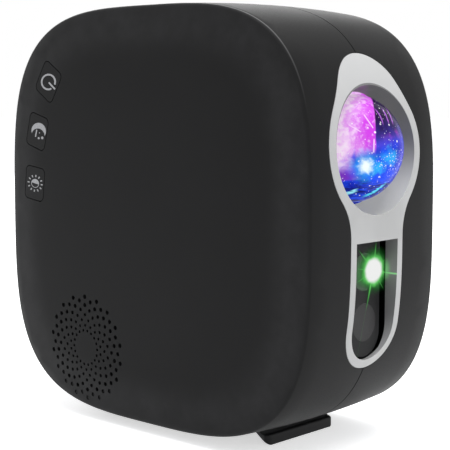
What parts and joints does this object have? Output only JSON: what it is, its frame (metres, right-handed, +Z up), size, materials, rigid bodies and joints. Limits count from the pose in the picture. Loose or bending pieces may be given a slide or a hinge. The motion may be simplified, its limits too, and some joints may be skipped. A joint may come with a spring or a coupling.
{
  "type": "planetarium projector",
  "caption": "Rounded-square desktop star and nebula projector with a dome lens, a laser window, keys, a speaker grille and a fold-out kickstand.",
  "frame": {"origin": "on the surface that the projector stands on, under the middle of its bounding box", "axes": "+Z up, -Y the way the lens looks, -X the face with the keys and the speaker grille, X across the thickness"},
  "size_m": [0.068, 0.1455, 0.1422],
  "materials": {
    "casing_plastic": "fine matt texture, near black",
    "key_plastic": "smooth matt, near black with pale printed signs",
    "bezel_plastic": "satin silver grey",
    "clear_acrylic": "polished clear",
    "star_film": "clear film with fine ruled lines",
    "rippled_disc": "clear disc with rippled colour patches",
    "dark_window": "smoked, lets infrared through",
    "laser_pane": "clear pane",
    "black_plastic": "matt black",
    "inner_plastic": "natural white",
    "steel": "plain steel",
    "screw_steel": "plated steel",
    "laser_brass": "turned brass",
    "clamp_metal": "plain cast",
    "circuit_board": "green solder mask",
    "circuit_black": "moulded black",
    "led_yellow": "pale phosphor",
    "switch_plastic": "dark",
    "plunger_plastic": "off white",
    "foam": "black foam",
    "rubber": "black",
    "magnet_ferrite": "dark grey",
    "cone_paper": "pressed paper",
    "coil_copper": "wound copper wire",
    "socket_steel": "drawn steel"
  },
  "bodies": {
    "casing": {"left_shell": "casing_plastic", "right_shell": "casing_plastic", "front_bezel": "bezel_plastic", "dome_lens": "clear_acrylic", "lens_barrel": "black_plastic", "focus_lens": "clear_acrylic", "lens_ring": "black_plastic", "optics_plate": "inner_plastic", "lamp_plate": "inner_plastic", "wave_axle": "steel", "gear_motor": "steel", "laser_module": "laser_brass", "laser_clamp": "clamp_metal", "condenser_tube": "black_plastic", "condenser_lens": "clear_acrylic", "led_board": "circuit_board", "led_chips": "led_yellow", "heat_sink": "clamp_metal", "laser_hood": "black_plastic", "laser_window": "laser_pane", "receiver_window": "dark_window", "receiver_board": "circuit_board", "infrared_receiver": "circuit_black", "key_switches": "switch_plastic", "key_board": "circuit_board", "speaker_gasket": "foam", "speaker_frame": "black_plastic", "speaker_magnet": "magnet_ferrite", "speaker_yoke": "steel", "speaker_surround": "rubber", "main_board": "circuit_board", "board_chips": "circuit_black", "usb_socket": "socket_steel", "hinge_pin": "steel", "foot_pads": "rubber", "case_screws": "screw_steel", "optics_screws": "screw_steel", "lamp_screws": "screw_steel", "board_screws": "screw_steel", "speaker_screws": "screw_steel"},
    "kickstand": {"kickstand": "casing_plastic"},
    "power_key": {"power_key": "key_plastic", "power_plunger": "plunger_plastic"},
    "moon_key": {"moon_key": "key_plastic", "moon_plunger": "plunger_plastic"},
    "light_key": {"light_key": "key_plastic", "light_plunger": "plunger_plastic"},
    "speaker_cone": {"speaker_cone": "cone_paper", "dust_cap": "cone_paper", "voice_coil": "coil_copper"},
    "wave_disc": {"wave_disc": "rippled_disc"},
    "motor_pinion": {"drive_pinion": "inner_plastic", "motor_shaft": "steel"},
    "star_wheel": {"grating_gear": "inner_plastic", "star_grating": "star_film"}
  },
  "joints": [
    {"name": "kickstand_hinge", "type": "hinge", "parent": "casing", "child": "kickstand", "pos_m": [0, -0.02825, 0.0058], "axis": [1, 0, 0], "range_deg": [-32, 50]},
    {"name": "power_key_press", "type": "slide", "parent": "casing", "child": "power_key", "axis": [1, 0, 0], "range_m": [0, 0.0006], "stiffness_N_per_m": 1500, "springref_m": -0.0003},
    {"name": "moon_key_press", "type": "slide", "parent": "casing", "child": "moon_key", "axis": [1, 0, 0], "range_m": [0, 0.0006], "stiffness_N_per_m": 1500, "springref_m": -0.0003},
    {"name": "light_key_press", "type": "slide", "parent": "casing", "child": "light_key", "axis": [1, 0, 0], "range_m": [0, 0.0006], "stiffness_N_per_m": 1500, "springref_m": -0.0003},
    {"name": "speaker_cone_travel", "type": "slide", "parent": "casing", "child": "speaker_cone", "axis": [1, 0, 0], "range_m": [-0.0006, 0.0006], "stiffness_N_per_m": 1500},
    {"name": "wave_disc_spin", "type": "hinge", "parent": "casing", "child": "wave_disc", "pos_m": [0, -0.03425, 0.0847], "axis": [0, 1, 0], "continuous": true},
    {"name": "motor_pinion_spin", "type": "hinge", "parent": "casing", "child": "motor_pinion", "pos_m": [0.00931, -0.03425, 0.06477], "axis": [0, 1, 0], "continuous": true},
    {"name": "star_wheel_spin", "type": "hinge", "parent": "casing", "child": "star_wheel", "pos_m": [0, -0.03425, 0.0572], "axis": [0, 1, 0], "continuous": true}
  ],
  "couplings": [
    {"joint": "motor_pinion_spin", "follows": "wave_disc_spin", "ratio": -4.5},
    {"joint": "star_wheel_spin", "follows": "wave_disc_spin", "ratio": 2.25}
  ]
}
